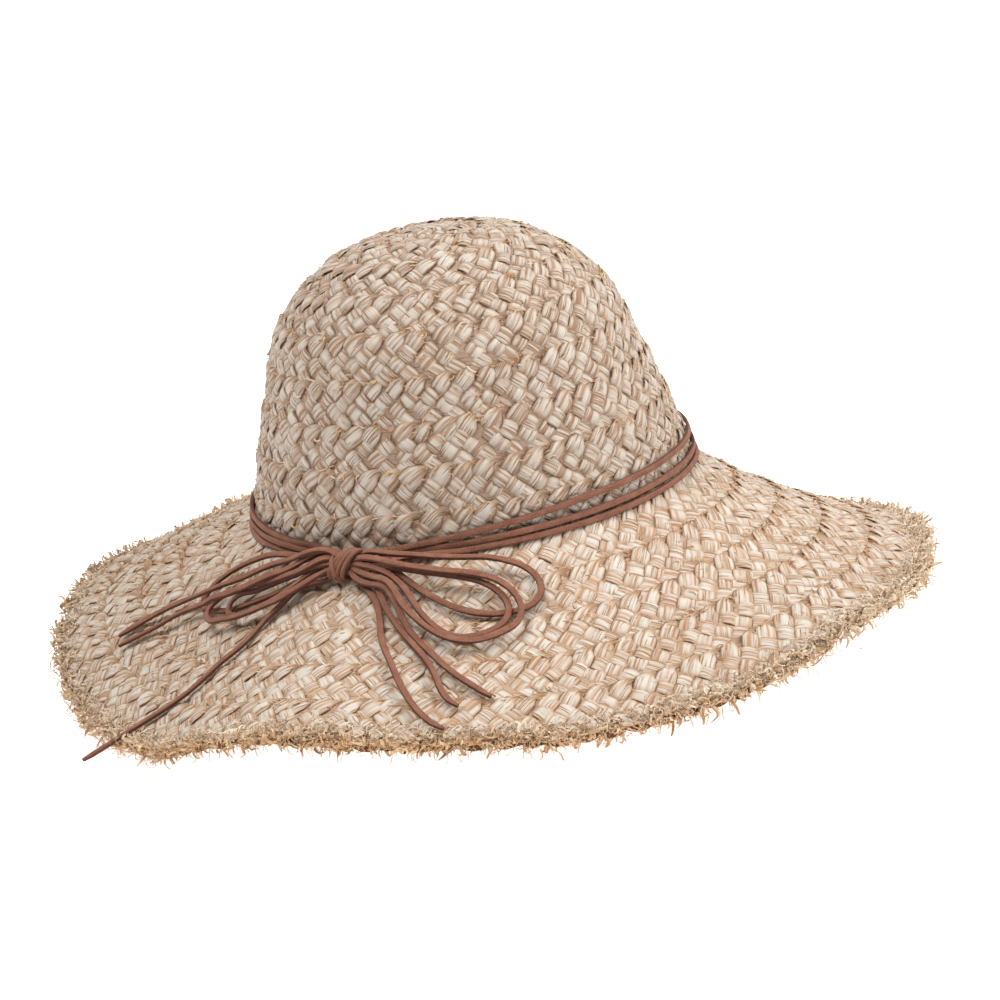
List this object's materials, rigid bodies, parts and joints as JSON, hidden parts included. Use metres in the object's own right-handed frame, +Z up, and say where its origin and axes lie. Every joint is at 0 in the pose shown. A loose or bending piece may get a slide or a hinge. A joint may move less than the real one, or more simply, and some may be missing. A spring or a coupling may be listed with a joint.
{
  "type": "sun hat",
  "caption": "Wide-brimmed straw sun hat of sewn flat plait with a domed crown, a drooping frayed-edge brim and thin suede laces tied in a bow round the crown.",
  "frame": {"origin": "centre of the head opening, in the plane where the crown meets the brim", "axes": "+Z up through the crown, -Y towards the side the bow is seen from (the bow is at -X -Y), +X to the wearer's side"},
  "size_m": [0.4057, 0.4032, 0.1892],
  "materials": {
    "raffia": "plaited natural raffia, dry satin strands",
    "raffia_fringe": "frayed raffia ends, golden and curly",
    "suede": "matt reddish-brown suede lace",
    "sweatband_cloth": "ribbed cotton ribbon"
  },
  "bodies": {
    "hat": {"crown_tip": "raffia", "crown_row_1": "raffia", "crown_row_2": "raffia", "crown_row_3": "raffia", "crown_row_4": "raffia", "crown_row_5": "raffia", "crown_row_6": "raffia", "crown_row_7": "raffia", "crown_row_8": "raffia", "brim_row_1": "raffia", "brim_row_2": "raffia", "brim_row_3": "raffia", "brim_row_4": "raffia", "brim_row_5": "raffia", "brim_fringe": "raffia_fringe", "sweatband": "sweatband_cloth"},
    "lace_band": {"lace_band_upper": "suede", "lace_band_middle": "suede", "lace_band_lower": "suede", "bow_knot": "suede", "bow_loop_right_1": "suede", "bow_loop_right_2": "suede", "bow_loop_right_3": "suede", "bow_loop_left_1": "suede", "bow_loop_left_2": "suede", "bow_loop_left_3": "suede", "lace_tail_right_1": "suede", "lace_tail_right_2": "suede", "lace_tail_right_3": "suede", "lace_tail_left_1": "suede", "lace_tail_left_2": "suede", "lace_tail_left_3": "suede"}
  },
  "joints": [
    {"name": "lace_band_lift", "type": "slide", "parent": "hat", "child": "lace_band", "axis": [0, 0, 1], "range_m": [0, 0.15]}
  ]
}
